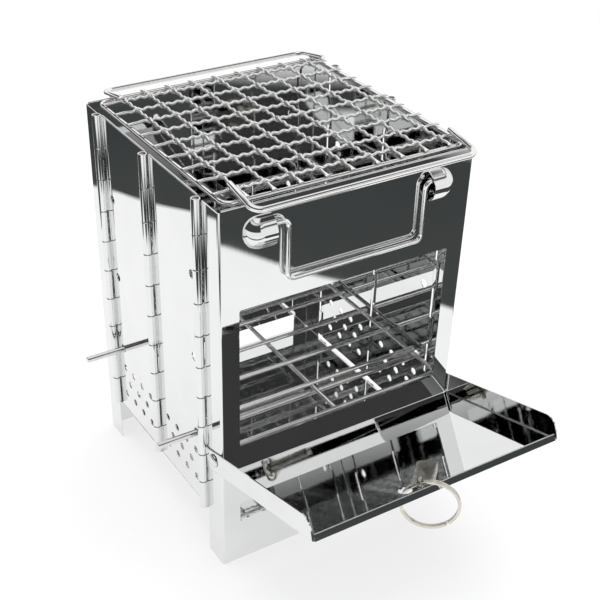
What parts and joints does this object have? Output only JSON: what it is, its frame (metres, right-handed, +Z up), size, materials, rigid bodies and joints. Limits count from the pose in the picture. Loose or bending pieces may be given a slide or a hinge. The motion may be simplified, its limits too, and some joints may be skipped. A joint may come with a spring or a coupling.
{
  "type": "folding camping wood stove",
  "caption": "Box-shaped sheet-steel camping stove with hinged sides, open fuel door tray, inner grate and wire top grill.",
  "frame": {"origin": "on the floor, in the middle of the front panel's bottom edge", "axes": "+X to the right when facing the front panel, +Y to the back, +Z up"},
  "size_m": [0.23, 0.302, 0.2663],
  "materials": {
    "polished_sheet": "mirror-polished stainless sheet",
    "steel_wire": "electropolished stainless wire",
    "steel_fittings": "bright turned steel",
    "plated_ring": "nickel-plated spring steel",
    "antique_tag": "cast tag in antique nickel, bare face"
  },
  "bodies": {
    "stove": {"front_panel": "polished_sheet", "rear_panel": "polished_sheet", "side_front_left": "polished_sheet", "side_front_right": "polished_sheet", "side_rear_left": "polished_sheet", "side_rear_right": "polished_sheet", "hinge_pin_left_front": "steel_fittings", "hinge_pin_left_middle": "steel_fittings", "hinge_pin_left_rear": "steel_fittings", "hinge_pin_right_front": "steel_fittings", "hinge_pin_right_middle": "steel_fittings", "hinge_pin_right_rear": "steel_fittings", "door_rivet_left": "steel_fittings", "door_rivet_right": "steel_fittings", "bottom_plate": "polished_sheet"},
    "door": {"fuel_door": "polished_sheet"},
    "ring": {"split_ring": "plated_ring"},
    "tag": {"ring_tag": "antique_tag"},
    "bail": {"bail_handle": "steel_wire"},
    "grill": {"grill_frame": "steel_wire", "grill_wires_long": "steel_wire", "grill_wires_cross": "steel_wire", "grill_handle_front": "steel_wire", "grill_handle_rear": "steel_wire"},
    "grate": {"grate_frame": "steel_wire", "grate_centre_wire": "steel_wire", "grate_bars": "steel_wire"},
    "rod_front": {"support_rod_front": "steel_fittings"},
    "rod_rear": {"support_rod_rear": "steel_fittings"}
  },
  "joints": [
    {"name": "door_hinge", "type": "hinge", "parent": "stove", "child": "door", "pos_m": [0, 0.0078, 0.0832], "axis": [-1, 0, 0], "range_deg": [0, 66]},
    {"name": "ring_swing", "type": "hinge", "parent": "door", "child": "ring", "pos_m": [-0.01749, -0.09291, 0.10296], "axis": [0.6569, -0.5512, 0.5145], "range_deg": [-20, 20]},
    {"name": "tag_tilt", "type": "hinge", "parent": "door", "child": "tag", "pos_m": [-0.01159, -0.09786, 0.11031], "axis": [0.715, -0.672, 0.1927], "range_deg": [0, 40]},
    {"name": "bail_swing", "type": "hinge", "parent": "stove", "child": "bail", "pos_m": [0, -0.0037, 0.245], "axis": [-1, 0, 0], "range_deg": [0, 135]},
    {"name": "grill_lift", "type": "slide", "parent": "stove", "child": "grill", "axis": [0, 0, 1], "range_m": [0, 0.1]},
    {"name": "grate_lift", "type": "slide", "parent": "stove", "child": "grate", "axis": [0, 0, 1], "range_m": [0, 0.13]},
    {"name": "rod_front_pull", "type": "slide", "parent": "stove", "child": "rod_front", "axis": [-1, 0, 0], "range_m": [0, 0.2]},
    {"name": "rod_rear_pull", "type": "slide", "parent": "stove", "child": "rod_rear", "axis": [-1, 0, 0], "range_m": [0, 0.2]}
  ]
}
